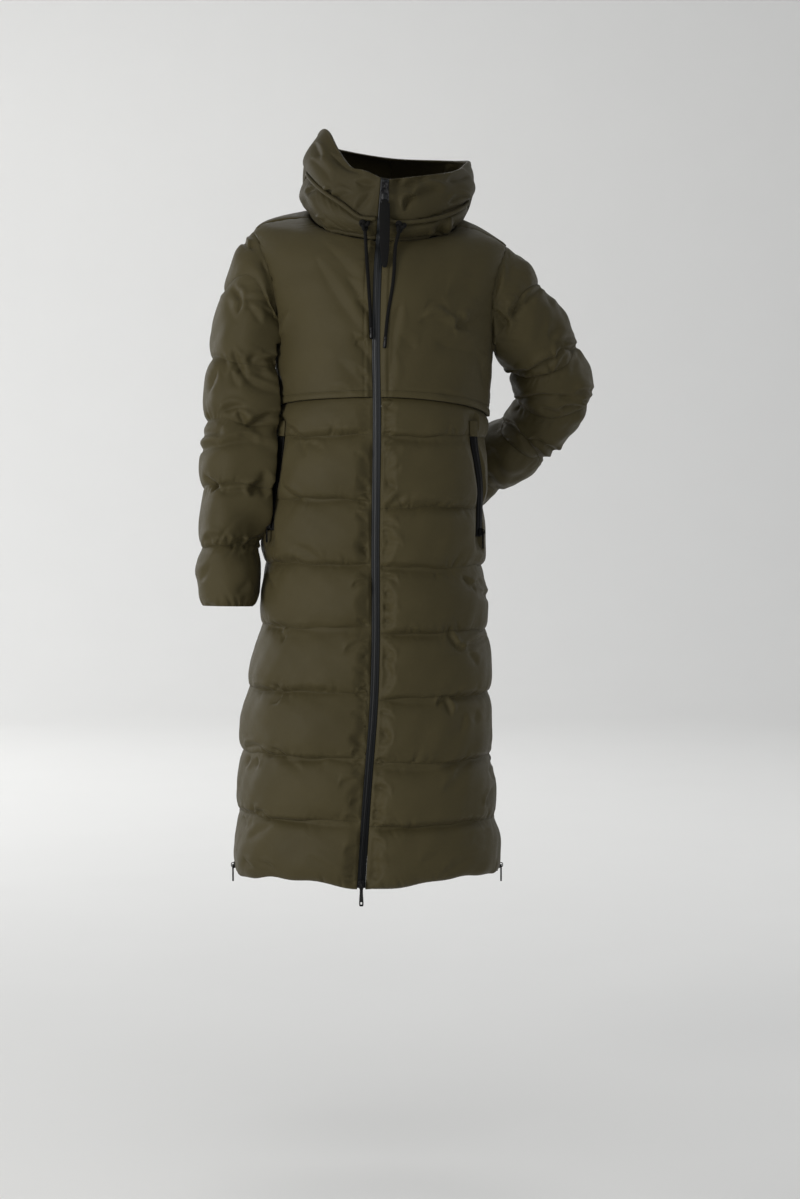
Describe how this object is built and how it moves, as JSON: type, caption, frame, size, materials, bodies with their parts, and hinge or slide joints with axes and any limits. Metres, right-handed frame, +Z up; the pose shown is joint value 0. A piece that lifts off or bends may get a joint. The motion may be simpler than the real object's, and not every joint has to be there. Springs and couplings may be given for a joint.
{
  "type": "long puffer coat",
  "caption": "Long hooded quilted coat, zipped, hollow inside, in the pose it is worn in with one hand behind the hip.",
  "frame": {"origin": "between the wearer's shoulders, at the base of the neck, where the coat is carried", "axes": "+Z up, front faces -Y, the wearer's left is +X"},
  "size_m": [0.6533, 0.4448, 1.2457],
  "materials": {
    "shell_cloth": "matt woven polyester, soft sheen",
    "zip_tape": "coated black zip tape",
    "black_cord": "matt black webbing and cord",
    "dark_metal": "dark nickel"
  },
  "bodies": {
    "coat": {"front_quilted_panel_right": "shell_cloth", "front_quilted_panel_left": "shell_cloth", "back_quilted_panel": "shell_cloth", "front_yoke_right": "shell_cloth", "front_yoke_left": "shell_cloth", "back_yoke": "shell_cloth", "sleeve_front_right": "shell_cloth", "sleeve_back_right": "shell_cloth", "sleeve_front_left": "shell_cloth", "sleeve_back_left": "shell_cloth", "collar_band": "shell_cloth", "hood_left": "shell_cloth", "hood_right": "shell_cloth", "drawcord_tunnel": "shell_cloth", "pocket_garage_right": "shell_cloth", "pocket_garage_left": "shell_cloth", "main_zip_tape": "zip_tape", "vent_zip_right": "zip_tape", "vent_zip_left": "zip_tape", "pocket_zip_right": "zip_tape", "pocket_zip_left": "zip_tape", "main_zip_top_slider": "dark_metal", "main_zip_hem_slider": "dark_metal", "vent_slider_right": "dark_metal", "vent_slider_left": "dark_metal", "pocket_slider_right": "dark_metal", "pocket_slider_left": "dark_metal", "drawcord_tip_right": "dark_metal", "drawcord_tip_left": "dark_metal", "drawcord_right": "black_cord", "drawcord_left": "black_cord", "drawcord_knot_right": "black_cord", "drawcord_knot_left": "black_cord"},
    "top_pull": {"main_zip_top_pull": "dark_metal", "main_zip_strap": "black_cord"},
    "hem_pull": {"main_zip_hem_pull": "dark_metal"},
    "right_pocket_pull": {"pocket_pull_right": "dark_metal"},
    "left_pocket_pull": {"pocket_pull_left": "dark_metal"},
    "right_vent_pull": {"vent_pull_right": "dark_metal"},
    "left_vent_pull": {"vent_pull_left": "dark_metal"}
  },
  "joints": [
    {"name": "top_pull_swing", "type": "hinge", "parent": "coat", "child": "top_pull", "pos_m": [0.01698, -0.14665, 0.04004], "axis": [-1, 0, 0], "range_deg": [0, 160]},
    {"name": "hem_pull_swing", "type": "hinge", "parent": "coat", "child": "hem_pull", "pos_m": [-0.02026, -0.1836, -1.068], "axis": [-1, 0, 0], "range_deg": [0, 160]},
    {"name": "right_pocket_pull_swing", "type": "hinge", "parent": "coat", "child": "right_pocket_pull", "pos_m": [-0.17474, -0.07647, -0.49904], "axis": [-0.4353, 0.9003, 0], "range_deg": [0, 25]},
    {"name": "left_pocket_pull_swing", "type": "hinge", "parent": "coat", "child": "left_pocket_pull", "pos_m": [0.17603, -0.06519, -0.5094], "axis": [-0.3529, -0.9357, 0], "range_deg": [0, 160]},
    {"name": "right_vent_pull_swing", "type": "hinge", "parent": "coat", "child": "right_vent_pull", "pos_m": [-0.23624, 0, -1.064], "axis": [0, 1, 0], "range_deg": [0, 160]},
    {"name": "left_vent_pull_swing", "type": "hinge", "parent": "coat", "child": "left_vent_pull", "pos_m": [0.20912, 0, -1.064], "axis": [0, -1, 0], "range_deg": [0, 160]}
  ]
}
